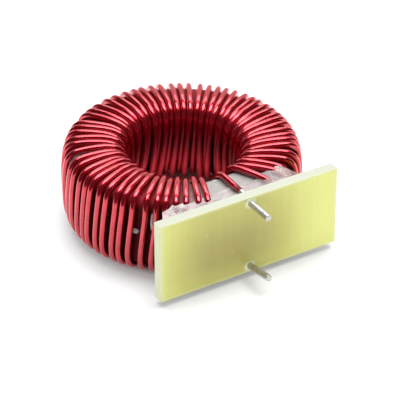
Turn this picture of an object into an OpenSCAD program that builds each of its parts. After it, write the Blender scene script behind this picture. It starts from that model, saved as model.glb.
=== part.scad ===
// Toroidal inductor with a glass-epoxy header plate at its side.
// Lengths are in millimetres. +Z is up along the toroid's axis, the winding rests on z = 0,
// and the plate's outer face and the two lead ends face -Y.
// Angles round the toroid start at the plate, in the middle of the gap in the winding,
// and grow towards +X.

/* [Core] */
// Outside diameter of the coated ring core
core_od = 46; // [44:0.5:48]
// Bore diameter of the coated ring core
bore_d = 28; // [28:0.5:29]
// Height of the ring core
core_h = 16; // [14.4:0.2:18]
// Rounding of the core's outer edges
core_outer_round = 3.6; // [3.2:0.1:4.4]
// Rounding of the core's bore edges
core_inner_round = 2.2; // [2:0.1:2.6]

/* [Winding] */
// Diameter of the enamelled wire
wire_d = 1.32; // [1.2:0.02:1.32]
// Diameter of the wire where its enamel is stripped
bare_d = 1.22; // [1:0.02:1.26]
// Number of turns
turns = 58; // [57:1:58]
// Room between the wire and the core
wire_clear = 0.06; // [0.04:0.01:0.2]
// How far the turns bow out from the core's outer wall
wire_bow = 0.6; // [0.5:0.05:1]
// How far the turns lift off the core's flat faces
wire_lift = 0.2; // [0.15:0.05:0.4]
// How far every second turn stands inward in the crowded bore
bore_stagger = 0.45; // [0.3:0.05:0.5]
// How far neighbouring turns part up and down at the bore's rim
rim_lift = 0.12; // [0.1:0.02:0.16]

/* [Header plate] */
// Length of the plate
plate_l = 41; // [36:0.5:46]
// Height of the plate
plate_h = 17.7; // [17.2:0.1:19]
// Thickness of the plate
plate_t = 2.4; // [1.6:0.1:3.2]
// Distance from a lead hole's middle to the plate's nearest long edge
hole_edge = 1.23; // [1.15:0.01:1.6]
// Diameter of the lead holes
hole_d = 1.9; // [1.86:0.02:2.1]
// How far the plate's middle stands above the core's middle
plate_rise = 0.7; // [0.4:0.1:0.9]
// Gap between the core's wall and the plate
plate_gap = 1.1; // [1:0.05:1.6]

/* [Lead ends] */
// Diameter of a tinned lead end
tin_d = 1.4; // [1.36:0.02:1.5]
// Length of the upper lead end in front of the plate
upper_lead_l = 6.6; // [3:0.1:8]
// Length of the lower lead end in front of the plate
lower_lead_l = 7.3; // [3:0.1:8]
// Upward lean of the upper lead end, in degrees
upper_angle = 1.2; // [0:0.1:3]
// Upward lean of the lower lead end, in degrees
lower_angle = 10; // [6:0.5:10]
// Thickness of the solder over the cut end of a lead
tin_cap = 0.15; // [0.1:0.05:0.4]
// How far in front of the plate the solder starts
tin_start = 0.25; // [0.2:0.05:1]

/* [Adhesive] */
// How far the adhesive reaches to the left of the leads
bead_left = 18; // [15:0.5:19]
// How far the adhesive reaches to the right of the leads
bead_right = 11; // [9:0.5:14]
// Height of the adhesive down the plate's back
bead_h = 5.6; // [4:0.2:7]
// How far the adhesive stays under the plate's top edge
bead_drop = 0.45; // [0.3:0.05:0.6]
// How far the adhesive's top falls from the plate to the core's flat face
bead_fall = 0.9; // [0.6:0.05:1]
// Room between the adhesive and the turns
bead_clear = 0.06; // [0.04:0.01:0.2]

/* [Hidden] */

// colours as on the object
core_color = [0.65, 0.66, 0.63];
wire_color = [0.72, 0.16, 0.22];
plate_color = [0.88, 0.89, 0.55];
tin_color = [0.85, 0.85, 0.84];
bead_color = [0.86, 0.83, 0.83];

// facets: sides of the wire, steps in a rounded corner of the core, circle segments
wire_sides = 8;
corner_steps = 8;
$fn = 96;
// overrun of every cut
cut_over = 1;

// Layout of the turns, in degrees round the toroid

// first and last outer turn, beside the gap that faces the plate
first_outer = -17.75;
last_outer = -339.5;
// first and last turn in the bore, at the top
first_bore = -15.6;
last_bore = -346.2;
// the upper lead's place in the bore
lead_bore = -361;
// lean of a turn down the outer wall, and of a turn in the bore
outer_lean = -3;
bore_lean = 5;
// intervals that are wider than the rest, counted from the first turn
wide_outer = [16, 17, 22, 25, 52, 54, 56];
wide_bore = [each [0:2], each [17:39], each [50:56]];
// extra width of those intervals
wide_outer_share = 0.75;
wide_bore_share = 0.1;
// unevenness of the hand-wound turns
uneven_share = 0.16;
uneven_step = 137.5;

// Outline of a turn in section, seen in the plane through the toroid's axis

// squareness of the bow over the outer edges
bow_power = 3.4;
// places along the bow at which the wire is drawn, from the wall's middle to the top
bow_angles = [0, 21, 45, 74];
// part of the stagger that is left where a turn reaches the flat face
stagger_top_share = 0.5;

wire_r = wire_d/2;
bare_r = bare_d/2;
tin_r = tin_d/2;
core_r = core_od/2;
bore_r = bore_d/2;
half_h = core_h/2;
// the turn's centre line: bore wall, flat faces, outer wall
turn_bore_r = bore_r - wire_r - wire_clear;
turn_top = half_h + wire_r + wire_lift;
turn_outer_r = core_r + wire_r + wire_bow;
turn_mid_r = (core_r + bore_r)/2;
// half the wire's width over its flat sides, which face the core and the surface below
wire_flat = wire_r*cos(180/wire_sides);
wound_r = turn_outer_r + wire_flat;
// the bend over the bore edge, drawn with two corners
bore_bend_r = core_inner_round + wire_r + wire_clear;
bore_bend_cut = bore_bend_r*tan(45/2);
bend_start_z = half_h - core_inner_round + bore_bend_cut;
bend_end_r = bore_r + core_inner_round - bore_bend_cut;

// heights above the surface that the winding rests on
mid_z = turn_top + rim_lift + wire_flat;
plate_mid_z = mid_z + plate_rise;
plate_top_z = plate_mid_z + plate_h/2;
lead_pitch = plate_h - 2*hole_edge;
upper_z = plate_mid_z + lead_pitch/2;
lower_z = plate_mid_z - lead_pitch/2;
bead_top_z = plate_top_z - bead_drop;

// distances from the toroid's axis towards the plate
plate_back = core_r + plate_gap;
plate_front = plate_back + plate_t;
plate_centre = plate_back + plate_t/2;
front_reach = plate_front + max(upper_lead_l, lower_lead_l);
// the origin lies under the middle of the whole part
axis_y = (front_reach - wound_r)/2;

// Functions for the winding

// how many of the wide intervals lie before turn i
function wides_before(i, wides) = len([for (w = wides) if (w < i) w]);
// place of turn i along its row, counted in plain intervals
function along(i, wides, extra) = i + extra*wides_before(i, wides);
// part of the row that lies before turn i
function row_part(i, wides, extra) = along(i, wides, extra)/along(turns - 1, wides, extra);
// unevenness of turn i, from -1 to 1
function uneven(i) = sin(uneven_step*i + uneven_step*sin(uneven_step*i));
function outer_pitch() = (last_outer - first_outer)/(turns - 1);
function outer_angle(i) = first_outer + (last_outer - first_outer)*row_part(i, wide_outer, wide_outer_share)
    + outer_pitch()*uneven_share*uneven(i);
function bore_angle(i) = i == turns ? lead_bore
    : first_bore + (last_bore - first_bore)*row_part(i, wide_bore, wide_bore_share);
function stagger(i) = i % 2 == 1 ? bore_stagger : 0;
function rim_z(i) = turn_top + (i % 2 == 1 ? rim_lift : -rim_lift);
// radius and height on the bow over the outer edge
function bow_r(a) = turn_mid_r + (turn_outer_r - turn_mid_r)*pow(cos(a), 2/bow_power);
function bow_z(a) = turn_top*pow(sin(a), 2/bow_power);
// share of the way from the bore to the outer wall at radius r
function out_part(r) = (r - bend_end_r)/(turn_outer_r - bend_end_r);
function mix(a, b, k) = a + (b - a)*k;
// point at radius r, angle a and height z above the core's middle
function polar(r, a, z) = [r*sin(a), -r*cos(a), z];

// centre line of turn i: up the bore, over the top, down the wall and under to the next turn
function bore_run(i) = [
    polar(turn_bore_r - stagger(i), bore_angle(i) + bore_lean, -bend_start_z),
    polar(turn_bore_r - stagger(i), bore_angle(i), bend_start_z),
    polar(bend_end_r - stagger(i)*stagger_top_share, bore_angle(i), rim_z(i))];
function top_run(i) = [for (k = [3:-1:1])
    let (a = bow_angles[k], r = bow_r(a))
    polar(r, mix(bore_angle(i), outer_angle(i), out_part(r)), bow_z(a))];
function wall_run(i) = [polar(turn_outer_r, outer_angle(i) + outer_lean/2, 0)];
function under_run(i) = [for (k = [1:3])
    let (a = bow_angles[k], r = bow_r(a))
    polar(r, mix(bore_angle(i + 1) + bore_lean, outer_angle(i) + outer_lean, out_part(r)), -bow_z(a))];
function into_bore(i) = [
    polar(bend_end_r - stagger(i)*stagger_top_share, bore_angle(i) + bore_lean, -rim_z(i))];
function turn(i) = concat(bore_run(i), top_run(i), wall_run(i), under_run(i), into_bore(i + 1));

// point on a lead end's axis, d in front of the plate's middle plane
function on_lead(z, lean, d) = [0, -(plate_centre + d*cos(lean)), z - mid_z + d*sin(lean)];
function lead_tip(z, lean, l) = on_lead(z, lean, plate_t/2/cos(lean) + l - tin_cap);
function lead_root(z, lean) = on_lead(z, lean, -plate_t/2/cos(lean));
function lead_bend(z, lean) = on_lead(z, lean, -plate_t/2/cos(lean) - wire_r);

// edge of the core's flat face, where the leads leave it
lead_face_r = core_r - core_outer_round;
// the lower lead rounds the core's lower edge at this angle from straight down
lower_edge_angle = 25;
lead_edge_r = lead_face_r + (core_outer_round + wire_r + wire_lift)*sin(lower_edge_angle);
lead_edge_z = half_h - core_outer_round + (core_outer_round + wire_r + wire_lift)*cos(lower_edge_angle);

lower_lead = concat(
    [lead_tip(lower_z, lower_angle, lower_lead_l), lead_root(lower_z, lower_angle), lead_bend(lower_z, lower_angle)],
    [polar(lead_edge_r, 0, -lead_edge_z), polar(lead_face_r, 0, -turn_top)],
    into_bore(0));
upper_lead = concat(
    bore_run(turns),
    [polar(lead_face_r, 0, turn_top + wire_lift)],
    [lead_bend(upper_z, upper_angle), lead_root(upper_z, upper_angle), lead_tip(upper_z, upper_angle, upper_lead_l)]);

wire_path = concat(lower_lead, [for (i = [0:turns - 1]) each turn(i)], upper_lead);
path_end = len(wire_path) - 1;
// the two outermost points at each end are stripped of enamel
function is_bare(i) = i < 2 || i > path_end - 2;
function heading(i) = let (a = wire_path[max(i - 1, 0)], b = wire_path[min(i + 1, path_end)], m = wire_path[i],
    u = i == 0 ? b - m : (m - a)/norm(m - a), v = i == path_end ? m - a : (b - m)/norm(b - m), s = u + v) s/norm(s);
// direction along the winding's row, across the wire
function across(p) = let (d = norm([p[0], p[1]])) [-p[1]/d, p[0]/d, 0];
function wire_ring(i) = let (c = wire_path[i], t = heading(i), w = across(c), u0 = w - (w*t)*t,
    u = u0/norm(u0), v = cross(t, u), r = is_bare(i) ? bare_r : wire_r)
    [for (k = [0:wire_sides - 1]) let (a = 360*(k + 1/2)/wire_sides) c + r*(u*cos(a) + v*sin(a))];
function ring_faces(i) = [for (k = [0:wire_sides - 1])
    [i*wire_sides + k, (i + 1)*wire_sides + k,
     (i + 1)*wire_sides + (k + 1)%wire_sides, i*wire_sides + (k + 1)%wire_sides]];

// quarter arc of a rounded corner
function corner(c, r, a) = [for (k = [0:corner_steps])
    c + r*[cos(a + 90*k/corner_steps), sin(a + 90*k/corner_steps)]];

module at_axis() {
    translate([0, axis_y, mid_z]) children();
}

module core_section() {
    ro = core_r - core_outer_round;
    zo = half_h - core_outer_round;
    ri = bore_r + core_inner_round;
    zi = half_h - core_inner_round;
    polygon(concat(
        corner([ro, zo], core_outer_round, 0),
        corner([ri, zi], core_inner_round, 90),
        corner([ri, -zi], core_inner_round, 180),
        corner([ro, -zo], core_outer_round, 270)));
}

module core_ring() {
    rotate_extrude() core_section();
}

// part of the space that the turns take up beside the gap, with the room round them
module wound_space(from, to) {
    grow = wire_r + bead_clear;
    side = [for (a = [0:15:90])
        [turn_mid_r + (turn_outer_r - turn_mid_r + grow)*pow(cos(a), 2/bow_power),
         (turn_top + grow)*pow(sin(a), 2/bow_power)]];
    rotate([0, 0, from - 90])
        rotate_extrude(angle = to - from)
            polygon(concat(side, [[turn_mid_r, 0]]));
}

module core() {
    color(core_color) at_axis() core_ring();
}

module winding() {
    color(wire_color) at_axis()
        polyhedron(
            points = [for (i = [0:path_end]) each wire_ring(i)],
            faces = concat(
                [[for (k = [0:wire_sides - 1]) k]],
                [for (i = [0:path_end - 1]) each ring_faces(i)],
                [[for (k = [wire_sides - 1:-1:0]) path_end*wire_sides + k]]));
}

module header_plate() {
    color(plate_color) translate([0, axis_y, 0])
        difference() {
            translate([-plate_l/2, -plate_front, plate_mid_z - plate_h/2])
                cube([plate_l, plate_t, plate_h]);
            for (z = [lower_z, upper_z])
                translate([0, -plate_back + cut_over, z])
                    rotate([90, 0, 0])
                        cylinder(d = hole_d, h = plate_t + 2*cut_over);
        }
}

// solder on one lead end: a sleeve over the stripped wire, closed over its cut end
module tinning(z, lean, l) {
    sleeve_l = l - tin_start;
    color(tin_color) at_axis()
        translate(on_lead(z, lean, plate_t/2/cos(lean) + tin_start))
            rotate([90 - lean, 0, 0])
                difference() {
                    cylinder(d = tin_d, h = sleeve_l);
                    translate([0, 0, -cut_over])
                        cylinder(d = bare_d, h = sleeve_l - tin_cap + cut_over);
                }
}

module upper_lead_tinning() {
    tinning(upper_z, upper_angle, upper_lead_l);
}

module lower_lead_tinning() {
    tinning(lower_z, lower_angle, lower_lead_l);
}

// adhesive poured between the plate's back, the core's shoulder and the nearest turns
module adhesive_bead() {
    // how far the bead reaches behind the plate: at its ends, and over the core's shoulder
    end_depth = plate_gap/2;
    shoulder_depth = plate_back - lead_face_r - wire_r;
    left_share = 0.72;
    right_share = 0.7;
    // angle that half a wire and its room take up beside the gap
    side_angle = asin((wire_r + bead_clear)/turn_mid_r);
    groove_w = wire_d + 2*bead_clear;
    bend_point = lead_bend(upper_z, upper_angle);
    top = bead_top_z - mid_z;
    color(bead_color) at_axis()
        difference() {
            intersection() {
                translate([0, -plate_back, top - bead_h])
                    linear_extrude(bead_h)
                        polygon([
                            [-bead_left, 0], [bead_right, 0], [bead_right, end_depth],
                            [bead_right*right_share, shoulder_depth],
                            [-bead_left*left_share, shoulder_depth],
                            [-bead_left, end_depth]]);
                // side outline, with the top that falls towards the core
                translate([-bead_left, -plate_back, top])
                    rotate([90, 0, 90])
                        linear_extrude(bead_left + bead_right)
                            polygon([[0, -bead_h], [shoulder_depth, -bead_h], [shoulder_depth, -bead_fall], [0, 0]]);
            }
            core_ring();
            wound_space(first_bore - 90, first_bore + side_angle);
            wound_space(last_bore + 360 - side_angle, last_bore + 360 + 90);
            // groove in which the upper lead lies
            translate([-groove_w/2, -plate_back - cut_over, bend_point[2] - groove_w/2])
                cube([groove_w, shoulder_depth + 2*cut_over, bead_h]);
        }
}

core();
winding();
header_plate();
upper_lead_tinning();
lower_lead_tinning();
adhesive_bead();
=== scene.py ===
"""Toroidal inductor with a side header plate: looks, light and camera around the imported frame."""

import math

import bpy
import numpy as np
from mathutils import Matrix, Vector


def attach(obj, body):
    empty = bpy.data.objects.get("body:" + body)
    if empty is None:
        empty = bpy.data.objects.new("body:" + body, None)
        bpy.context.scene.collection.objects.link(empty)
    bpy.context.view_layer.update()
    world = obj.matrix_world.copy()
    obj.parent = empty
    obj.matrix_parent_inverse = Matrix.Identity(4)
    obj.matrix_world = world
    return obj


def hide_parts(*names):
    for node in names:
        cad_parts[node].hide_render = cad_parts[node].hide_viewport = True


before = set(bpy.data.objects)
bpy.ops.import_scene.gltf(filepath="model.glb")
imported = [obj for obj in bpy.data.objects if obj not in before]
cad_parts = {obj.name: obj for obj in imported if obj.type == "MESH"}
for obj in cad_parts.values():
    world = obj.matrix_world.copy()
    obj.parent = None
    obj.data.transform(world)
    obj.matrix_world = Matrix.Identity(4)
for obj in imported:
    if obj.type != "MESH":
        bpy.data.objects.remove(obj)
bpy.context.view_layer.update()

MM = 0.001
TAU = 2.0 * math.pi
HALF_TURN = 180.0

# Sizes of the part, in millimetres, as in the frame
CORE_OD, CORE_ID, CORE_H = 46.0, 28.0, 16.0
CORE_OUTER_ROUND, CORE_INNER_ROUND = 3.6, 2.2
WIRE_D, WIRE_SIDES_CAD, TURNS = 1.32, 8, 58
WIRE_CLEAR, WIRE_BOW, WIRE_LIFT = 0.06, 0.6, 0.2
BORE_STAGGER, RIM_LIFT = 0.45, 0.12
PLATE_L, PLATE_H, PLATE_T = 41.0, 17.7, 2.4
PLATE_RISE, PLATE_GAP = 0.7, 1.1
LEAD_PITCH, HOLE_D, TIN_D = 15.24, 1.9, 1.4
UPPER_LEAD_L, LOWER_LEAD_L = 6.6, 7.3
UPPER_LEAN, LOWER_LEAN = 1.2, 10.0

# Upper lead: its lift over the turns' tops, where its enamel ends, and its knee behind the plate
LEAD_LIFT, TIN_FROM, UPPER_KNEE = 0.12, 23.0, 23.6
# Lower lead: how far its solder runs on behind the plate, and where it rounds the core's lower edge
TIN_RUN, LOWER_EDGE_ANGLE = 1.5, 25.0

# Layout of the turns, in degrees round the toroid from the plate
FIRST_OUTER, LAST_OUTER = -17.75, -339.5
FIRST_BORE, LAST_BORE, LEAD_BORE = -15.6, -346.2, -361.0
OUTER_LEAN, BORE_LEAN = -3.0, 5.0
# Intervals between turns that are wider than the rest, and by what share
WIDE_OUTER, WIDE_OUTER_SHARE = np.array([16, 17, 22, 25, 52, 54, 56]), 0.75
WIDE_BORE, WIDE_BORE_SHARE = np.r_[0:3, 17:40, 50:57], 0.1
UNEVEN_SHARE, UNEVEN_STEP = 0.16, 137.5
# Every second turn stands further in at its foot in the bore, and leans unevenly there
FOOT_STAGGER, FOOT_WANDER = 1.1, 2.3
STAGGER_TOP_SHARE = 0.5
# The turns bend loosely over the bore's rim: how far they stand off it, sag and part there, and the
# angles from the plate between which the looseness grows
LOOSE_OFF, LOOSE_SAG, LOOSE_STAGGER = 1.6, 2.1, 0.2
LOOSE_FROM, LOOSE_TO = 30.0, 75.0
# The squared-off bow of a turn over the outer edge, and what its rounding takes off each corner
BOW_POWER, BOW_ANGLES = 3.4, (21.0, 45.0, 74.0)
SHOULDER_R, SHOULDER_Z = np.array([0.05, 0.28, 0.4]), np.array([0.1, 0.2, 0.16])

# Far edge of the adhesive: places across the plate, distance ahead of the axis, and height there
BEAD_X = (-18.4, -16.4, -13.5, -11.0, -9.0, -6.6, -4.0, -1.4,
          0.8, 2.4, 4.0, 6.4, 8.9, 10.9, 12.4, 13.2)
BEAD_AHEAD = (23.0, 20.6, 19.2, 20.0, 20.6, 20.2, 20.0, 19.6,
              19.2, 20.9, 20.6, 19.6, 19.0, 19.2, 20.4, 22.0)
BEAD_FAR_Z = (18.2, 17.4, 17.5, 17.7, 17.7, 17.7, 17.7, 17.75,
              17.9, 17.8, 17.8, 18.0, 18.4, 18.5, 18.5, 18.5)
BEAD_LEFT, BEAD_RIGHT, BEAD_DROP = 18.4, 13.2, 0.45

# Worked-out places, in millimetres
wire_r = WIRE_D / 2
core_r, bore_r, half_h = CORE_OD / 2, CORE_ID / 2, CORE_H / 2
turn_bore_r = bore_r - wire_r - WIRE_CLEAR
turn_top = half_h + wire_r + WIRE_LIFT
turn_outer_r = core_r + wire_r + WIRE_BOW
turn_mid_r = (core_r + bore_r) / 2
wire_flat = wire_r * math.cos(math.pi / WIRE_SIDES_CAD)
bend_cut = (CORE_INNER_ROUND + wire_r + WIRE_CLEAR) * math.tan(math.pi / 8)
bend_start_z = half_h - CORE_INNER_ROUND + bend_cut
bend_end_r = bore_r + CORE_INNER_ROUND - bend_cut
mid_z = turn_top + RIM_LIFT + wire_flat
plate_mid_z = mid_z + PLATE_RISE
plate_top_z = plate_mid_z + PLATE_H / 2
plate_foot_z = plate_mid_z - PLATE_H / 2
upper_z = plate_mid_z + LEAD_PITCH / 2
lower_z = plate_mid_z - LEAD_PITCH / 2
plate_back = core_r + PLATE_GAP
plate_front = plate_back + PLATE_T
plate_centre = plate_back + PLATE_T / 2
front_reach = plate_front + max(UPPER_LEAD_L, LOWER_LEAD_L)
axis_y = (front_reach - turn_outer_r - wire_flat) / 2
lead_face_r = core_r - CORE_OUTER_ROUND


# Mesh helpers


def to_frame(points):
    """Points in millimetres round the toroid's axis, heights from the core's middle, as metres in the
    frame."""
    return (np.asarray(points, float) + (0.0, axis_y, mid_z)) * MM


def grid_faces(rows, cols, wrap_rows=False, wrap_cols=False):
    """Quads of a rows x cols grid of points, joined round where a direction wraps."""
    i = np.arange(rows if wrap_rows else rows - 1)
    j = np.arange(cols if wrap_cols else cols - 1)
    i, j = np.meshgrid(i, j, indexing="ij")
    i2, j2 = (i + 1) % rows, (j + 1) % cols
    return np.stack([i * cols + j, i2 * cols + j, i2 * cols + j2, i * cols + j2], -1).reshape(-1, 4)


def mesh_piece(name, verts, faces, material, smooth=True, ends=()):
    """A mesh object at the origin from an array of points and quads, plus any end polygons."""
    mesh = bpy.data.meshes.new(name)
    polygons = np.asarray(faces).tolist() + [list(end) for end in ends]
    mesh.from_pydata(np.asarray(verts).tolist(), [], polygons)
    mesh.polygons.foreach_set("use_smooth", np.full(len(mesh.polygons), smooth))
    mesh.materials.append(material)
    mesh.update()
    piece = bpy.data.objects.new(name, mesh)
    bpy.context.scene.collection.objects.link(piece)
    return piece


def fit_piece(piece, slot, *nodes):
    """The piece moves with the part and stands for the nodes, which are hidden. The slot is not used."""
    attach(piece, "root")
    if nodes:
        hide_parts(*nodes)


# The wire's centre line


def polar(r, angle, z):
    """Points at radius r, angle in degrees from the plate towards +X, and height z."""
    r, angle, z = np.broadcast_arrays(np.asarray(r, float), np.radians(angle), np.asarray(z, float))
    return np.stack([r * np.sin(angle), -r * np.cos(angle), z], -1)


def uneven(i):
    """Unevenness of turn i, from -1 to 1: the sine of a fixed step per turn, swayed by that sine itself."""
    step = np.radians(UNEVEN_STEP)
    return np.sin(step * i + step * np.sin(step * i))


def row_part(i, wides, extra):
    """Share of a row of turns that lies before turn i, with some intervals wider than the rest."""
    along = i + extra * (wides[None, :] < i[:, None]).sum(1)
    last = TURNS - 1 + extra * (wides < TURNS - 1).sum()
    return along / last


def outer_angles(i):
    """Angle of turn i on the outer wall: an even row with wide intervals and a small unevenness."""
    sweep = LAST_OUTER - FIRST_OUTER
    even = FIRST_OUTER + sweep * row_part(i, WIDE_OUTER, WIDE_OUTER_SHARE)
    return even + sweep / (TURNS - 1) * UNEVEN_SHARE * uneven(i)


def bore_angles(i):
    """Angle of turn i at the top of the bore; the one after the last turn is the upper lead."""
    row = FIRST_BORE + (LAST_BORE - FIRST_BORE) * row_part(i, WIDE_BORE, WIDE_BORE_SHARE)
    return np.where(i == TURNS, LEAD_BORE, row)


def on_lead(z, lean, d):
    """Point on a lead end's axis, d in front of the plate's middle plane."""
    lean = math.radians(lean)
    return np.array([0.0, -(plate_centre + d * math.cos(lean)), z - mid_z + d * math.sin(lean)])


def on_top(r):
    """Point of the upper lead where it crosses the core's top, at distance r from the axis."""
    return polar(r, 0.0, turn_top + LEAD_LIFT)


def wire_points():
    """Corners of the wire's route: in through the lower hole, up the bore, over, down and under for every
    turn, and out through the upper hole. The outer edge follows a squared-off bow."""
    i = np.arange(TURNS + 1)
    bore = bore_angles(i)
    inner = i % 2 == 1
    from_plate = np.abs((bore + HALF_TURN) % (2 * HALF_TURN) - HALF_TURN)
    loose = np.clip((from_plate - LOOSE_FROM) / (LOOSE_TO - LOOSE_FROM), 0.0, 1.0)
    off = LOOSE_OFF * loose
    stagger = np.where(inner, BORE_STAGGER + LOOSE_STAGGER * loose, 0.0)
    foot = np.where(inner, FOOT_STAGGER, 0.0)
    foot_angle = bore + BORE_LEAN + np.where(inner, FOOT_WANDER * uneven(i + 0.5), 0.0)
    rim_z = turn_top + np.where(inner, RIM_LIFT, -RIM_LIFT)
    up = [polar(turn_bore_r - foot, foot_angle, -bend_start_z),
          polar(turn_bore_r - stagger - off, bore, bend_start_z - LOOSE_SAG * loose),
          polar(bend_end_r - stagger * STAGGER_TOP_SHARE - off, bore, rim_z)]
    under_rim = polar(bend_end_r - foot * STAGGER_TOP_SHARE, foot_angle, -rim_z)
    bow = np.radians(BOW_ANGLES)
    bow_r = turn_mid_r + (turn_outer_r - turn_mid_r) * np.cos(bow) ** (2 / BOW_POWER) + SHOULDER_R
    bow_z = turn_top * np.sin(bow) ** (2 / BOW_POWER) + SHOULDER_Z
    share = (bow_r - bend_end_r) / (turn_outer_r - bend_end_r)
    outer = outer_angles(i[:-1])
    this_bore, next_bore = bore[:-1], foot_angle[1:]
    over = [polar(bow_r[k], this_bore + (outer - this_bore) * share[k], bow_z[k]) for k in (2, 1, 0)]
    wall = [polar(turn_outer_r, outer + OUTER_LEAN / 2, 0.0)]
    leaned = outer + OUTER_LEAN
    below = [polar(bow_r[k], next_bore + (leaned - next_bore) * share[k], -bow_z[k]) for k in (0, 1, 2)]
    turns = np.stack([p[:TURNS] for p in up] + over + wall + below + [under_rim[1:]], 1).reshape(-1, 3)
    edge = math.radians(LOWER_EDGE_ANGLE)
    edge_r = CORE_OUTER_ROUND + wire_r + WIRE_LIFT
    edge_z = half_h - CORE_OUTER_ROUND + edge_r * math.cos(edge)
    lower = [on_lead(lower_z, LOWER_LEAN, -PLATE_T / 2 - wire_r),
             polar(lead_face_r + edge_r * math.sin(edge), 0.0, -edge_z),
             polar(lead_face_r, 0.0, -turn_top),
             under_rim[0]]
    upper = [up[0][TURNS], up[1][TURNS], on_top(bend_end_r), on_top(lead_face_r), on_top(TIN_FROM)]
    return np.vstack([lower, turns, upper])


def rounded_route(points, steps):
    """Quadratic B-spline of the points: each corner is rounded between the middles of its two sides."""
    t = (np.arange(steps) / steps)[None, :, None]
    a, b, c = points[:-2, None], points[1:-1, None], points[2:, None]
    curve = 0.5 * (1 - t) ** 2 * a + (0.5 + t - t * t) * b + 0.5 * t * t * c
    return np.vstack([points[:1], curve.reshape(-1, 3), points[-1:]])


def swept(route, radius, sides):
    """Rings of a round bar carried along a route. Each ring stands square to the route, and its first
    direction lies along the row of turns."""
    heading = np.gradient(route, axis=0)
    heading /= np.linalg.norm(heading, axis=1, keepdims=True)
    across = np.stack([-route[:, 1], route[:, 0], np.zeros(len(route))], -1)
    across /= np.linalg.norm(across, axis=1, keepdims=True)
    u = across - (across * heading).sum(1, keepdims=True) * heading
    u /= np.linalg.norm(u, axis=1, keepdims=True)
    v = np.cross(heading, u)
    angle = TAU * np.arange(sides) / sides
    radius = np.broadcast_to(radius, len(route))[:, None, None]
    ring = u[:, None] * np.cos(angle)[None, :, None] + v[:, None] * np.sin(angle)[None, :, None]
    return (route[:, None] + radius * ring).reshape(-1, 3)


# Material helpers


def new_material(name):
    """A node material, its tree and its Principled shader."""
    material = bpy.data.materials.new(name)
    material.use_nodes = True
    tree = material.node_tree
    return material, tree, tree.nodes["Principled BSDF"]


def set_shader(shader, **values):
    """Constants go straight onto the shader's own sockets, by their names with spaces as underscores."""
    for key, value in values.items():
        shader.inputs[key.replace("_", " ")].default_value = value


def feed(tree, shader, socket, value):
    """A worked-out value goes into one of the shader's sockets."""
    tree.links.new(value, shader.inputs[socket])


def colour_ramp(tree, value, *stops):
    """Colour of a value along a ramp with the given (place, colour) stops."""
    ramp = tree.nodes.new("ShaderNodeValToRGB")
    elements = ramp.color_ramp.elements
    while len(elements) < len(stops):
        elements.new(0.5)
    for element, (place_on_ramp, colour) in zip(elements, stops):
        element.position = place_on_ramp
        element.color = (*colour, 1.0)
    tree.links.new(value, ramp.inputs["Fac"])
    return ramp.outputs["Color"]


def two_tones(tree, noise, first, second, low=0.3, high=0.7):
    """Colour between two tones, over the middle of a noise's range."""
    return colour_ramp(tree, noise, (low, first), (high, second))


def object_noise(tree, scale, detail=3.0, rough=0.5, stretch=(1.0, 1.0, 1.0)):
    """Noise on Object coordinates, in metres, stretched along the axes."""
    where = tree.nodes.new("ShaderNodeTexCoord")
    mapping = tree.nodes.new("ShaderNodeMapping")
    mapping.inputs["Scale"].default_value = stretch
    noise = tree.nodes.new("ShaderNodeTexNoise")
    noise.inputs["Scale"].default_value = scale
    noise.inputs["Detail"].default_value = detail
    noise.inputs["Roughness"].default_value = rough
    tree.links.new(where.outputs["Object"], mapping.inputs["Vector"])
    tree.links.new(mapping.outputs["Vector"], noise.inputs["Vector"])
    return noise.outputs["Fac"]


def bump(tree, shader, height, strength, depth):
    """Bump from a height socket into the shader, with a depth in metres."""
    node = tree.nodes.new("ShaderNodeBump")
    node.inputs["Strength"].default_value = strength
    node.inputs["Distance"].default_value = depth
    tree.links.new(height, node.inputs["Height"])
    feed(tree, shader, "Normal", node.outputs["Normal"])


def calc(tree, operation, *values):
    """A Math node's result; a number or a socket for each value."""
    node = tree.nodes.new("ShaderNodeMath")
    node.operation = operation
    for holder, value in zip(node.inputs, values):
        if isinstance(value, (int, float)):
            holder.default_value = value
        else:
            tree.links.new(value, holder)
    return node.outputs[0]


def span(tree, a, b):
    """Distance from zero of a point with the sides a and b: the root of the sum of their squares."""
    return calc(tree, "SQRT", calc(tree, "ADD", calc(tree, "MULTIPLY", a, a), calc(tree, "MULTIPLY", b, b)))


def ramp_up(tree, value, low, high):
    """Smooth step of a socket from 0 at low to 1 at high (or down, where low is the larger)."""
    node = tree.nodes.new("ShaderNodeMapRange")
    node.interpolation_type = "SMOOTHSTEP"
    flip = low > high
    node.inputs["From Min"].default_value = min(low, high)
    node.inputs["From Max"].default_value = max(low, high)
    node.inputs["To Min"].default_value = 1.0 if flip else 0.0
    node.inputs["To Max"].default_value = 0.0 if flip else 1.0
    tree.links.new(value, node.inputs["Value"])
    return node.outputs["Result"]


def place(tree):
    """The point's place in millimetres: across the plate, from the axis towards the plate, and height."""
    where = tree.nodes.new("ShaderNodeTexCoord")
    split = tree.nodes.new("ShaderNodeSeparateXYZ")
    tree.links.new(where.outputs["Object"], split.inputs[0])
    x = calc(tree, "DIVIDE", split.outputs[0], MM)
    ahead = calc(tree, "SUBTRACT", axis_y, calc(tree, "DIVIDE", split.outputs[1], MM))
    z = calc(tree, "DIVIDE", split.outputs[2], MM)
    return x, ahead, z


def blend(tree, share, first, second):
    """Colour mix: a share of the second colour (a socket or a colour) over the first."""
    node = tree.nodes.new("ShaderNodeMix")
    node.data_type = "RGBA"
    sockets = [s for s in node.inputs if s.enabled]
    for holder, value in zip(sockets, (share, first, second)):
        if isinstance(value, tuple):
            holder.default_value = (*value, 1.0)
        else:
            tree.links.new(value, holder)
    return [s for s in node.outputs if s.enabled][0]
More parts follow.
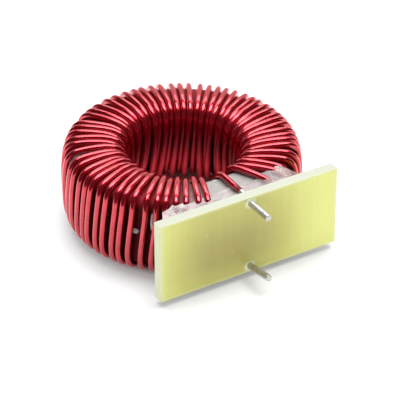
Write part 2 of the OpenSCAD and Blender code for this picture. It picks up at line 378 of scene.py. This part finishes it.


# Materials

# Enamel: two tones, painted glow low in the bore, painted shade under the rim, and the tint of dull
# reflections
ENAMEL_DEEP, ENAMEL_LIGHT = (0.36, 0.003, 0.0125), (0.51, 0.007, 0.026)
ENAMEL_PAINTED_GLOW, ENAMEL_PAINTED_SHADE = (1.0, 0.06, 0.1), (0.05, 0.0004, 0.001)
ENAMEL_TINT = (1.0, 0.3, 0.36)
# Direction across the part, square to the one in which the bore's rim gets the deepest painted shade
ACROSS = (0.856, 0.517)
# Where the painted shade begins and is full at the rim, by distance from the axis and by height, and how
# far it moves inward and down at the two sides
RIM_IN_R, RIM_IN_SIDE = (13.7, 12.8), 0.7
RIM_DOWN_Z, RIM_DOWN_SIDE = (17.4, 15.6), 1.9
# Heights and distances over which the painted shade grows and the painted glow fades, and the shade's shares
SHADE_Z, SHADE_SHARE = (5.0, 12.5), 0.64
BEHIND_R, BEHIND_SHARE = (12.0, 12.8), 0.22
GLOW_Z = (12.0, 4.0)
# Below the rim: how much the gloss is dulled, what is added high up, and how much of the metal look is lost
DULL_SHARE, DULL_HIGH_SHARE = 0.74, 0.22
METALLIC, METALLIC_LOSS = 0.82, 0.5


def enamel_material():
    """Clear red enamel over copper, with slow changes of depth along the wire. Below the bore's rim it gets
    painted shade and is duller and less metallic, and low in the bore a painted red glow stands in for the
    light bounced in there."""
    material, tree, shader = new_material("red_enamel")
    noise = object_noise(tree, scale=420.0)
    body = two_tones(tree, noise, ENAMEL_DEEP, ENAMEL_LIGHT)
    x, ahead, z = place(tree)
    reach = span(tree, x, ahead)
    across = calc(tree, "ADD", calc(tree, "MULTIPLY", x, ACROSS[0]), calc(tree, "MULTIPLY", ahead, ACROSS[1]))
    side = calc(tree, "ABSOLUTE", calc(tree, "DIVIDE", across, reach))
    rim_in = ramp_up(tree, calc(tree, "MULTIPLY_ADD", side, RIM_IN_SIDE, reach), *RIM_IN_R)
    rim_down = ramp_up(tree, calc(tree, "MULTIPLY_ADD", side, RIM_DOWN_SIDE, z), *RIM_DOWN_Z)
    # Painted shade below the bore's rim, deepest high up and behind the inner row, and a painted red glow low
    # in the bore
    below_rim = calc(tree, "MULTIPLY", rim_in, rim_down)
    high = ramp_up(tree, z, *SHADE_Z)
    upper = calc(tree, "MULTIPLY", high, SHADE_SHARE)
    behind = calc(tree, "MULTIPLY", ramp_up(tree, reach, *BEHIND_R), BEHIND_SHARE)
    painted_bore_shade = calc(tree, "MULTIPLY", below_rim, calc(tree, "ADD", upper, behind))
    painted_glow = calc(tree, "MULTIPLY", below_rim, ramp_up(tree, z, *GLOW_Z))
    lit = blend(tree, painted_glow, body, ENAMEL_PAINTED_GLOW)
    feed(tree, shader, "Base Color", blend(tree, painted_bore_shade, lit, ENAMEL_PAINTED_SHADE))
    dulled = calc(tree, "MULTIPLY", below_rim, calc(tree, "MULTIPLY_ADD", high, DULL_HIGH_SHARE, DULL_SHARE))
    feed(tree, shader, "Coat Weight", calc(tree, "SUBTRACT", 1.0, dulled))
    feed(tree, shader, "Metallic", calc(tree, "MULTIPLY_ADD", below_rim, -METALLIC_LOSS, METALLIC))
    set_shader(shader, Roughness=0.22, Specular_Tint=(*ENAMEL_TINT, 1.0))
    set_shader(shader, Coat_Roughness=0.14, Coat_IOR=1.54)
    bump(tree, shader, noise, strength=0.15, depth=0.0002)
    return material


# Coating: its two tones, the painted dark red shade under and between the turns, low down and lighter on
# top, and the heights between
COATING_DARK, COATING_LIGHT = (0.24, 0.23, 0.216), (0.31, 0.297, 0.282)
CORE_PAINTED_SHADE, CORE_PAINTED_SHADE_TOP, CORE_SHADE_TOP_Z = (0.06, 0.002, 0.003), (0.2, 0.012, 0.018), (15.5, 17.4)
# How far the varnish fills the core's outer edges
VARNISH_FILL = 1.5
# Angles from the plate between which the painted shade begins, to the left and to the right, and its wavy
# edge
CORE_SHADE_LEFT, CORE_SHADE_RIGHT, CORE_SHADE_WAVE = (-10.0, -36.0), (20.0, 25.0), 0.12
# A bare patch in a wide gap of the turns: its angle, its half width at full and no painted shade, and its
# height
PATCH_AT, PATCH_HALF, PATCH_Z = -109.0, (5.0, 2.5), (13.0, 15.0)
# The chip at the bore's rim: its place across and ahead, its radius, its height and its wavy edge
CHIP_AT, CHIP_R, CHIP_Z, CHIP_WAVE = (-1.3, 14.75), (0.8, 0.65), (16.2, 16.8), 6.0
CHIP_WHITE = (0.8, 0.8, 0.78)
# Mirror share of the bare coating, and what the painted shade takes off it
COATING_SPECULAR, CORE_SHADE_SPECULAR_LOSS = 0.5, 0.45


def core_material():
    """Grey coating, mottled; painted dark red shade under and between the turns; a white chip at the bore's
    rim.
    """
    material, tree, shader = new_material("grey_coating")
    noise = object_noise(tree, scale=600.0, detail=5.0, rough=0.6)
    grey = two_tones(tree, noise, COATING_DARK, COATING_LIGHT, high=0.75)
    x, ahead, z = place(tree)
    angle = calc(tree, "ARCTAN2", x, ahead)
    # Painted dark red shade on the core under and between the turns, lighter on top, left out of the bare
    # patch
    wave = calc(tree, "MULTIPLY", calc(tree, "SUBTRACT", noise, 0.5), CORE_SHADE_WAVE)
    waved = calc(tree, "ADD", angle, wave)
    left = ramp_up(tree, waved, *np.radians(CORE_SHADE_LEFT).tolist())
    right = ramp_up(tree, waved, *np.radians(CORE_SHADE_RIGHT).tolist())
    from_patch = calc(tree, "ABSOLUTE", calc(tree, "SUBTRACT", angle, math.radians(PATCH_AT)))
    patch = ramp_up(tree, from_patch, *np.radians(PATCH_HALF).tolist())
    patch = calc(tree, "MULTIPLY", patch, ramp_up(tree, z, *PATCH_Z))
    under = calc(tree, "MULTIPLY", calc(tree, "MAXIMUM", left, right), calc(tree, "SUBTRACT", 1.0, patch))
    painted_core_shade = blend(tree, ramp_up(tree, z, *CORE_SHADE_TOP_Z), CORE_PAINTED_SHADE, CORE_PAINTED_SHADE_TOP)
    grey_and_shade = blend(tree, under, grey, painted_core_shade)
    chip_x = calc(tree, "SUBTRACT", x, CHIP_AT[0])
    chip_ahead = calc(tree, "SUBTRACT", ahead, CHIP_AT[1])
    off = calc(tree, "MULTIPLY_ADD", wave, CHIP_WAVE, span(tree, chip_x, chip_ahead))
    chip = calc(tree, "MULTIPLY", ramp_up(tree, off, *CHIP_R), ramp_up(tree, z, *CHIP_Z))
    feed(tree, shader, "Base Color", blend(tree, chip, grey_and_shade, CHIP_WHITE))
    specular = calc(tree, "MULTIPLY_ADD", under, -CORE_SHADE_SPECULAR_LOSS, COATING_SPECULAR)
    feed(tree, shader, "Specular IOR Level", specular)
    set_shader(shader, Roughness=0.42)
    bump(tree, shader, noise, strength=0.2, depth=0.0002)
    return material


# Laminate: the face from light to dark under the painted shade, the pale rim of a hole, the border of painted
# light, and the cut edges with painted light at the sides and on top, at the back and towards the front
LAMINATE_LIGHT, LAMINATE_MIDDLE, LAMINATE_DARK = (0.88, 0.91, 0.28), (0.63, 0.61, 0.165), (0.43, 0.385, 0.105)
LAMINATE_RIM, LAMINATE_BORDER = (0.86, 0.88, 0.6), (0.88, 0.92, 0.55)
EDGE_SIDE, EDGE_TOP = (0.69, 0.73, 0.48), (0.39, 0.405, 0.33)
EDGE_SIDE_FRONT, EDGE_TOP_FRONT, EDGE_FRONT_SHARE = (0.69, 0.73, 0.37), (0.42, 0.44, 0.27), 0.75
# Distances ahead of the plate's back and of its front between which the edges change
EDGE_FROM, EDGE_TO = 0.9, 0.5
# The painted shade of the toroid behind: its middle across the plate, its reach, its share at the plate's top
# and at its foot, how far below the middle it is full and how far above the foot
TOROID_AT, TOROID_REACH = -4.0, (22.0, 3.5)
TOROID_TOP_SHARE, TOROID_FOOT_SHARE = 0.6, 0.65
TOROID_BELOW_MIDDLE, TOROID_ABOVE_FOOT = 1.0, 5.5
STREAK_SHARE = 0.16
# Pale rims and specks, and the borders of painted light: where they begin and are full, and their shares
RIM_REACH, RIM_FULL, RIM_SHARE = 0.55, 0.1, 0.6
SPECK_LEVEL, SPECK_SHARE = (0.74, 0.77), 0.5
END_BORDER, LONG_BORDER, LONG_BORDER_SHARE, BORDER_SHARE = (1.3, -0.3), (0.9, -0.2), 0.7, 0.6
# Parts of a normal between which a face counts as a face or as an edge
FACE_NORMAL, EDGE_NORMAL = 0.6, 0.4


def plate_material():
    """Glass-epoxy laminate, translucent in the real part: painted shade where the toroid stands behind it,
    painted light at its ends and along its top and foot, cut edges pale in their own right with painted light
    set by the way they face, pale round its holes, with faint upright streaks of the weave."""
    material, tree, shader = new_material("glass_epoxy")
    x, ahead, z = place(tree)
    streaks = object_noise(tree, scale=900.0, stretch=(1.0, 1.0, 0.06))
    specks = object_noise(tree, scale=700.0, detail=2.0)
    # Painted shade where the toroid stands behind the plate, lighter towards the plate's top and foot
    reach = calc(tree, "ABSOLUTE", calc(tree, "SUBTRACT", x, TOROID_AT))
    down = ramp_up(tree, z, plate_top_z, plate_mid_z - TOROID_BELOW_MIDDLE)
    down = calc(tree, "MULTIPLY_ADD", down, 1.0 - TOROID_TOP_SHARE, TOROID_TOP_SHARE)
    foot = ramp_up(tree, z, plate_foot_z, plate_foot_z + TOROID_ABOVE_FOOT)
    foot = calc(tree, "MULTIPLY_ADD", foot, 1.0 - TOROID_FOOT_SHARE, TOROID_FOOT_SHARE)
    shade = calc(tree, "MULTIPLY", ramp_up(tree, reach, *TOROID_REACH), calc(tree, "MULTIPLY", down, foot))
    shade = calc(tree, "MULTIPLY_ADD", calc(tree, "SUBTRACT", streaks, 0.5), STREAK_SHARE, shade)
    face = colour_ramp(tree, shade, (0.0, LAMINATE_LIGHT), (0.5, LAMINATE_MIDDLE), (1.0, LAMINATE_DARK))
    hole_r = HOLE_D / 2
    rims = []
    for hole_z in (upper_z, lower_z):
        off = span(tree, x, calc(tree, "SUBTRACT", z, hole_z))
        rims.append(ramp_up(tree, off, hole_r + RIM_REACH, hole_r + RIM_FULL))
    rim = calc(tree, "MULTIPLY", calc(tree, "MAXIMUM", *rims), RIM_SHARE)
    speck = calc(tree, "MULTIPLY", ramp_up(tree, specks, *SPECK_LEVEL), SPECK_SHARE)
    faced = blend(tree, calc(tree, "MAXIMUM", rim, speck), face, LAMINATE_RIM)
    # Painted light along the plate's ends, top and foot
    end_in = calc(tree, "SUBTRACT", PLATE_L / 2, calc(tree, "ABSOLUTE", x))
    from_middle = calc(tree, "ABSOLUTE", calc(tree, "SUBTRACT", z, plate_mid_z))
    long_in = calc(tree, "SUBTRACT", PLATE_H / 2, from_middle)
    long_border = calc(tree, "MULTIPLY", ramp_up(tree, long_in, *LONG_BORDER), LONG_BORDER_SHARE)
    border = calc(tree, "MAXIMUM", ramp_up(tree, end_in, *END_BORDER), long_border)
    faced = blend(tree, calc(tree, "MULTIPLY", border, BORDER_SHARE), faced, LAMINATE_BORDER)
    # Cut edges: pale in their own right, with painted light set by the way each faces and from back to front
    where = tree.nodes.new("ShaderNodeTexCoord")
    normal = tree.nodes.new("ShaderNodeSeparateXYZ")
    tree.links.new(where.outputs["Normal"], normal.inputs[0])
    edge = ramp_up(tree, calc(tree, "ABSOLUTE", normal.outputs[1]), FACE_NORMAL, EDGE_NORMAL)
    upward = ramp_up(tree, normal.outputs[2], EDGE_NORMAL, FACE_NORMAL)
    to_front = ramp_up(tree, ahead, plate_back + EDGE_FROM, plate_front + EDGE_TO)
    at_back = blend(tree, upward, EDGE_SIDE, EDGE_TOP)
    at_front = blend(tree, upward, EDGE_SIDE_FRONT, EDGE_TOP_FRONT)
    edged = blend(tree, calc(tree, "MULTIPLY", to_front, EDGE_FRONT_SHARE), at_back, at_front)
    feed(tree, shader, "Base Color", blend(tree, edge, faced, edged))
    set_shader(shader, Roughness=0.38)
    bump(tree, shader, streaks, strength=0.08, depth=0.0003)
    return material


SOLDER_DARK, SOLDER_LIGHT = (0.4, 0.39, 0.35), (0.54, 0.53, 0.5)


def solder_material():
    """Bright tinned surface with slight streaks."""
    material, tree, shader = new_material("bright_solder")
    noise = object_noise(tree, scale=900.0)
    feed(tree, shader, "Base Color", two_tones(tree, noise, SOLDER_DARK, SOLDER_LIGHT))
    set_shader(shader, Metallic=0.8, Roughness=0.42)
    bump(tree, shader, noise, strength=0.2, depth=0.0002)
    return material


# Adhesive: its colour, how much it covers in clear and in milky patches, and how it clears towards the right
ADHESIVE_COLOUR = (0.7, 0.62, 0.62)
CLEAR_COVER, MILKY_COVER = (0.2, 0.2, 0.2), (0.74, 0.74, 0.74)
CLEARING_X, CLEARING_LOSS = (0.0, 9.0), 0.4


def adhesive_material():
    """Clear adhesive with milky patches and a wet gloss."""
    material, tree, shader = new_material("milky_adhesive")
    noise = object_noise(tree, scale=330.0, detail=1.5)
    cover = two_tones(tree, noise, CLEAR_COVER, MILKY_COVER)
    x, _, _ = place(tree)
    kept = calc(tree, "MULTIPLY_ADD", ramp_up(tree, x, *CLEARING_X), -CLEARING_LOSS, 1.0)
    feed(tree, shader, "Alpha", calc(tree, "MULTIPLY", cover, kept))
    set_shader(shader, Base_Color=(*ADHESIVE_COLOUR, 1.0), Roughness=0.14)
    set_shader(shader, Coat_Weight=0.6, Coat_Roughness=0.05)
    bump(tree, shader, noise, strength=0.15, depth=0.0006)
    return material


RESIN_DARK, RESIN_LIGHT = (0.72, 0.74, 0.46), (0.86, 0.88, 0.66)


def resin_material():
    """Pale cloudy resin in the lead holes."""
    material, tree, shader = new_material("pale_resin")
    noise = object_noise(tree, scale=1500.0, detail=2.0)
    feed(tree, shader, "Base Color", two_tones(tree, noise, RESIN_DARK, RESIN_LIGHT))
    set_shader(shader, Roughness=0.3)
    return material


# Pieces


def make_winding():
    """The enamelled wire, swept round along its rounded route."""
    steps, sides = 6, 14
    route = rounded_route(wire_points(), steps)
    verts = to_frame(swept(route, wire_r, sides))
    faces = grid_faces(len(route), sides, wrap_cols=True)[:, ::-1]
    ends = (np.arange(sides), np.arange(len(verts) - 1, len(verts) - 1 - sides, -1))
    piece = mesh_piece("enamelled_wire", verts, faces, enamel_material(), ends=ends)
    fit_piece(piece, "wire_enamel", "winding")


def make_core():
    """The ring core: a rectangle with rounded corners turned round the axis."""
    corner_points, sides = 13, 180
    corner = np.linspace(0.0, TAU / 4, corner_points)
    outer_round = CORE_OUTER_ROUND - VARNISH_FILL
    ro, zo = core_r - outer_round, half_h - outer_round
    ri, zi = bore_r + CORE_INNER_ROUND, half_h - CORE_INNER_ROUND
    arcs = [(ro, zo, outer_round, 0), (ri, zi, CORE_INNER_ROUND, 1),
            (ri, -zi, CORE_INNER_ROUND, 2), (ro, -zo, outer_round, 3)]
    section = []
    for r, z, rounding, quarter in arcs:
        turned = corner + TAU / 4 * quarter
        section.append(np.stack([r + rounding * np.cos(turned), z + rounding * np.sin(turned)], -1))
    section = np.vstack(section)
    angle = 2 * HALF_TURN * np.arange(sides) / sides
    verts = to_frame(polar(section[None, :, 0], angle[:, None], section[None, :, 1]).reshape(-1, 3))
    faces = grid_faces(sides, len(section), True, True)
    piece = mesh_piece("ring_core", verts, faces, core_material())
    fit_piece(piece, "core_coating", "core")


# A tinned end: rings to a bend, sides, where its bend ends, and the places of the rings along the rest; then
# its fullness at its root, along it and at its tip, and how far past the tip its flat end is closed
LEAD_STEPS, LEAD_SIDES, BEND_SHARE = 6, 24, 0.12
LEAD_SHARES = np.array([0.15, 0.4, 0.7, 0.93, 0.985, 0.999])
ROOT_SWELL, BODY_SWELL, TIP_SWELL = (0.9, 0.95), 0.98, (1.0, 0.99, 0.97, 0.93, 0.86, 0.0)
TIP_CLOSING = 1e-4


def make_lead_end(name, corners, z, lean, length, node, material):
    """A tinned wire end: a round bar round its corners and through the hole, a little fuller in front of the
    plate, cut flat at its tip."""
    end = PLATE_T / 2 / math.cos(math.radians(lean)) + length
    tip = on_lead(z, lean, end)
    bend = on_lead(z, lean, -PLATE_T / 2)
    run = tip - bend
    rounded = rounded_route(np.vstack([corners, bend, bend + BEND_SHARE * run]), LEAD_STEPS)
    route = np.vstack([rounded, bend + LEAD_SHARES[:, None] * run, tip, tip + TIP_CLOSING * run])
    swell = np.full(len(route), BODY_SWELL)
    swell[:len(ROOT_SWELL)] = ROOT_SWELL
    swell[-len(TIP_SWELL):] = TIP_SWELL
    verts = to_frame(swept(route, TIN_D / 2 * swell, LEAD_SIDES))
    faces = grid_faces(len(route), LEAD_SIDES, wrap_cols=True)[:, ::-1]
    piece = mesh_piece(name, verts, faces, material, ends=(np.arange(LEAD_SIDES),))
    fit_piece(piece, "solder", node)


# The section of a hole's plug: distances from its middle as shares of the hole's radius, and depths
PLUG_SHARES = np.array([0.58, 0.72, 0.86, 1.0, 1.0, 0.58])
PLUG_DEPTHS = np.array([-0.22, -0.1, -0.03, 0.02, 0.9, 0.9])


def make_hole_plug(name, z, material):
    """Pale resin that has crept into a lead hole round the wire: a section turned round the hole's middle,
    with a face that rises to the wire."""
    sides = 32
    r = HOLE_D / 2 * PLUG_SHARES
    angle = TAU * np.arange(sides)[:, None] / sides
    x = r * np.sin(angle)
    up = r * np.cos(angle) + z - mid_z
    y = np.broadcast_to(-plate_front + PLUG_DEPTHS, x.shape)
    verts = to_frame(np.stack([x, y, up], -1).reshape(-1, 3))
    faces = grid_faces(sides, len(r), True, True)[:, ::-1]
    piece = mesh_piece(name, verts, faces, material)
    fit_piece(piece, "adhesive")


def make_drop(name, r, angle, z, size, material):
    """A small drop of adhesive between two turns: a ball squeezed to the given half sizes along the row of
    turns, outward and up, with a wave of a small share of its size round it."""
    rings, sides = 13, 20
    wave_share, waves_round, waves_down = 0.12, 3, 2
    u = np.linspace(0.0, math.pi, rings)[:, None]
    w = TAU * np.arange(sides)[None, :] / sides
    waved = 1.0 + wave_share * np.sin(waves_round * w + waves_down * u) * np.sin(u)
    height = np.broadcast_to(np.cos(u), (rings, sides))
    ball = np.stack([waved * np.sin(u) * np.cos(w), waved * np.sin(u) * np.sin(w), height], -1)
    a = math.radians(angle)
    turn = np.array([[math.cos(a), math.sin(a), 0.0], [math.sin(a), -math.cos(a), 0.0], [0.0, 0.0, 1.0]])
    points = (ball * size).reshape(-1, 3) @ turn + polar(r, angle, z - mid_z)
    piece = mesh_piece(name, to_frame(points), grid_faces(rings, sides, wrap_cols=True), material)
    fit_piece(piece, "adhesive")


# The adhesive's sheet: how it climbs a turn (half width in degrees, reach and height), how it narrows at its
# ends, its least depth, the power of its sag, what it is thicker at the plate, and its thickness at its edge
CLIMB_ANGLE, CLIMB_REACH, CLIMB_H = 1.8, 0.3, 0.2
END_LEFT, END_RIGHT = 2.0, 1.5
LEAST_DEPTH, SAG_POWER = 0.25, 0.8
THICKER_AT_PLATE, EDGE_THICK = 3.2, 0.35


def make_adhesive(material):
    """The adhesive on top behind the plate: a sagging sheet from the plate's back to the core's shoulder and
    over the bends of the nearest turns. Its height follows a quarter of a sine wave from the plate to its far
    edge. It climbs a little at every turn, and is closed below."""
    cols, rows = 160, 20
    x = np.linspace(-BEAD_LEFT, BEAD_RIGHT, cols)[:, None]
    v = np.linspace(0.0, 1.0, rows)[None, :]
    ahead = np.interp(x, BEAD_X, BEAD_AHEAD)
    far_z = np.interp(x, BEAD_X, BEAD_FAR_Z) - mid_z
    turn = outer_angles(np.arange(TURNS))
    turn = np.where(turn < -HALF_TURN, turn + 2 * HALF_TURN, turn)
    off_turn = np.abs(np.degrees(np.arctan2(x, ahead)) - turn[None, :]).min(1, keepdims=True)
    climb = np.exp(-(off_turn / CLIMB_ANGLE) ** 2)
    from_left = np.clip((x + BEAD_LEFT) / END_LEFT, 0.0, 1.0)
    from_right = np.clip((BEAD_RIGHT - x) / END_RIGHT, 0.0, 1.0)
    depth = (plate_back - ahead + CLIMB_REACH * climb) * np.sqrt(from_left * from_right) + LEAST_DEPTH
    y = -plate_back + depth * v
    near_z = plate_top_z - mid_z - BEAD_DROP
    top = near_z + (far_z - near_z + CLIMB_H * climb) * np.sin(0.5 * math.pi * v) ** SAG_POWER
    bottom = top - THICKER_AT_PLATE * (1.0 - v) - EDGE_THICK
    xx = np.broadcast_to(x, y.shape)
    sheet = [np.stack([xx, y, z], -1) for z in (top, bottom)]
    verts = to_frame(np.concatenate([sheet[0], sheet[1][:, ::-1]], 1).reshape(-1, 3))
    faces = grid_faces(cols, 2 * rows, wrap_cols=True)
    caps = (np.arange(2 * rows), np.arange(len(verts) - 1, len(verts) - 1 - 2 * rows, -1))
    piece = mesh_piece("adhesive", verts, faces, material, ends=caps)
    fit_piece(piece, "adhesive", "adhesive_bead")


def dress_plate():
    """The header plate keeps its drilled solid and gets its laminate."""
    laminate = plate_material()
    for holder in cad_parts["header_plate"].material_slots:
        holder.material = laminate


# Stage, light and camera

# Camera: its direction in degrees, its distance in millimetres, its lens in pixels of the picture, the point
# that it looks at, from the toroid's axis and the floor, and its shift to the right and up in the picture
VIEW_AZIMUTH, VIEW_ELEVATION, VIEW_DISTANCE = -31.144, 33.697, 481.316
LENS_PIXELS, IMAGE_PIXELS, SENSOR = 2344.785, 400.0, 36.0
AIM, AIM_RIGHT, AIM_UP = (0.75, -5.53, 7.93), 0.276, -1.283
FAR_CLIP = 10.0
WHITE = (1.0, 1.0, 1.0)
# Fill light of the surroundings, and what the part mirrors of them
FILL_LIGHT, MIRRORED_LIGHT = 0.14, 0.05
# Floor: its half size and the reach of the part's soft shade on it in metres, its own colour, its lift to
# white seen directly and what mirrors add, the share of the soft shade, and the painted dark red shade
# under the ring
FLOOR_HALF, SHADE_REACH = 3.0, 0.03
FLOOR_COLOUR = (0.5, 0.5, 0.505)
FLOOR_LIFT, FLOOR_MIRROR_LIFT, FLOOR_SHADE_SHARE = 0.56, 0.35, 0.72
UNDER_RING_PAINTED_SHADE, UNDER_RING_BORDER = (0.12, 0.05, 0.05), 3.0
# Lamps, in degrees, metres and watts: name, azimuth, elevation, distance, width, height, power, how far it is
# moved to its own left, and whether it shows in mirror images
LAMPS = (
    ("top_strip", 149.0, 82.0, 0.7, 0.8, 0.36, 8.0, 0.1, True),
    ("back_strip", 149.0, 46.0, 0.8, 0.9, 0.24, 3.4, 0.1, True),
    ("low_strip", 149.0, 20.0, 0.8, 2.0, 0.4, 2.4, 0.0, True),
    ("front_box", -10.0, 14.0, 0.8, 0.5, 0.3, 1.75, 0.0, False),
    ("side_box", -75.0, 12.0, 0.8, 0.45, 0.3, 2.6, 0.0, False),
)


def view_axes(azimuth, elevation):
    """Back, right and up directions of a camera that looks at the part from an azimuth and an elevation."""
    a, e = math.radians(azimuth), math.radians(elevation)
    back = np.array([math.sin(a) * math.cos(e), -math.cos(a) * math.cos(e), math.sin(e)])
    right = np.array([math.cos(a), math.sin(a), 0.0])
    return back, right, np.cross(back, right)


def make_camera():
    """A long lens at the photograph's angle."""
    back, right, up = view_axes(VIEW_AZIMUTH, VIEW_ELEVATION)
    aim = np.array(AIM) + (0.0, axis_y, 0.0) + AIM_RIGHT * right + AIM_UP * up
    camera = bpy.data.objects.new("camera", bpy.data.cameras.new("camera"))
    camera.data.sensor_width = SENSOR
    camera.data.lens = LENS_PIXELS * SENSOR / IMAGE_PIXELS
    camera.data.clip_end = FAR_CLIP
    camera.location = Vector((aim + VIEW_DISTANCE * back) * MM)
    camera.rotation_euler = Vector(back).to_track_quat("Z", "Y").to_euler()
    bpy.context.scene.collection.objects.link(camera)
    bpy.context.scene.camera = camera


def ray_is(tree, *kinds):
    """1 for a ray of one of the named kinds, else 0."""
    path = tree.nodes.new("ShaderNodeLightPath")
    total = path.outputs[kinds[0]]
    for kind in kinds[1:]:
        total = calc(tree, "MAXIMUM", total, path.outputs[kind])
    return total


def make_world():
    """White to the eye, a plain fill light on the object, and dim in its mirror images."""
    world = bpy.data.worlds.new("studio")
    world.use_nodes = True
    tree = world.node_tree
    background = tree.nodes["Background"]
    background.inputs["Color"].default_value = (*WHITE, 1.0)
    level = tree.nodes.new("ShaderNodeMapRange")
    level.inputs["To Max"].default_value = 1.0
    mirrored = ray_is(tree, "Is Glossy Ray")
    fill = calc(tree, "MULTIPLY_ADD", mirrored, MIRRORED_LIGHT - FILL_LIGHT, FILL_LIGHT)
    tree.links.new(fill, level.inputs["To Min"])
    tree.links.new(ray_is(tree, "Is Camera Ray", "Is Transmission Ray"), level.inputs["Value"])
    tree.links.new(level.outputs["Result"], background.inputs["Strength"])
    bpy.context.scene.world = world


def make_floor():
    """A pale matt floor that keeps the shadow and is lifted towards white, with painted dark red shade under
    the ring.
    """
    verts = FLOOR_HALF * np.array([[-1, -1, 0], [1, -1, 0], [1, 1, 0], [-1, 1, 0]])
    material, tree, shader = new_material("pale_floor")
    set_shader(shader, Base_Color=(*FLOOR_COLOUR, 1.0), Roughness=0.9)
    open_sky = tree.nodes.new("ShaderNodeAmbientOcclusion")
    open_sky.inputs["Distance"].default_value = SHADE_REACH
    lit = calc(tree, "MULTIPLY_ADD", open_sky.outputs["AO"], FLOOR_SHADE_SHARE, 1.0 - FLOOR_SHADE_SHARE)
    level = calc(tree, "MULTIPLY_ADD", ray_is(tree, "Is Glossy Ray"), FLOOR_MIRROR_LIFT, FLOOR_LIFT)
    seen = ray_is(tree, "Is Camera Ray", "Is Glossy Ray", "Is Transmission Ray")
    lift = calc(tree, "MULTIPLY", seen, calc(tree, "MULTIPLY", lit, level))
    feed(tree, shader, "Emission Strength", lift)
    # Painted dark red shade on the floor under the ring
    x, ahead, _ = place(tree)
    painted_ring_shade = ramp_up(tree, span(tree, x, ahead), core_r, core_r - UNDER_RING_BORDER)
    feed(tree, shader, "Emission Color", blend(tree, painted_ring_shade, WHITE, UNDER_RING_PAINTED_SHADE))
    floor = mesh_piece("floor", verts, [[0, 1, 2, 3]], material, smooth=False)


def make_lamp(name, azimuth, elevation, distance, width, height, power, aside, mirrored):
    """A soft box of a width and a height that looks towards the part, moved aside to its own left; it may
    leave no mirror image."""
    back, right, _ = view_axes(azimuth, elevation)
    light = bpy.data.lights.new(name, "AREA")
    light.shape = "RECTANGLE"
    light.size = width
    light.size_y = height
    light.energy = power
    lamp = bpy.data.objects.new(name, light)
    lamp.location = Vector(back * distance - right * aside)
    lamp.rotation_euler = Vector(back).to_track_quat("Z", "Y").to_euler()
    lamp.visible_glossy = mirrored
    bpy.context.scene.collection.objects.link(lamp)


# The dressed part

make_winding()
make_core()
solder = solder_material()
upper_corners = [on_top(TIN_FROM), on_top(UPPER_KNEE)]
lower_corners = [on_lead(lower_z, LOWER_LEAN, -PLATE_T / 2 - TIN_RUN)]
make_lead_end("upper_lead_end", upper_corners, upper_z, UPPER_LEAN, UPPER_LEAD_L,
              "upper_lead_tinning", solder)
make_lead_end("lower_lead_end", lower_corners, lower_z, LOWER_LEAN, LOWER_LEAD_L,
              "lower_lead_tinning", solder)
adhesive = adhesive_material()
resin = resin_material()
make_adhesive(adhesive)
make_drop("adhesive_drop", r=23.4, angle=-54.4, z=10.5, size=(1.0, 0.4, 0.6), material=adhesive)
make_drop("adhesive_run", r=23.9, angle=-44.6, z=13.4, size=(0.5, 0.7, 2.4), material=adhesive)
make_hole_plug("upper_hole_plug", upper_z, resin)
make_hole_plug("lower_hole_plug", lower_z, resin)
dress_plate()

make_camera()
make_world()
make_floor()
for lamp_values in LAMPS:
    make_lamp(*lamp_values)
bpy.context.scene.view_settings.view_transform = "Standard"
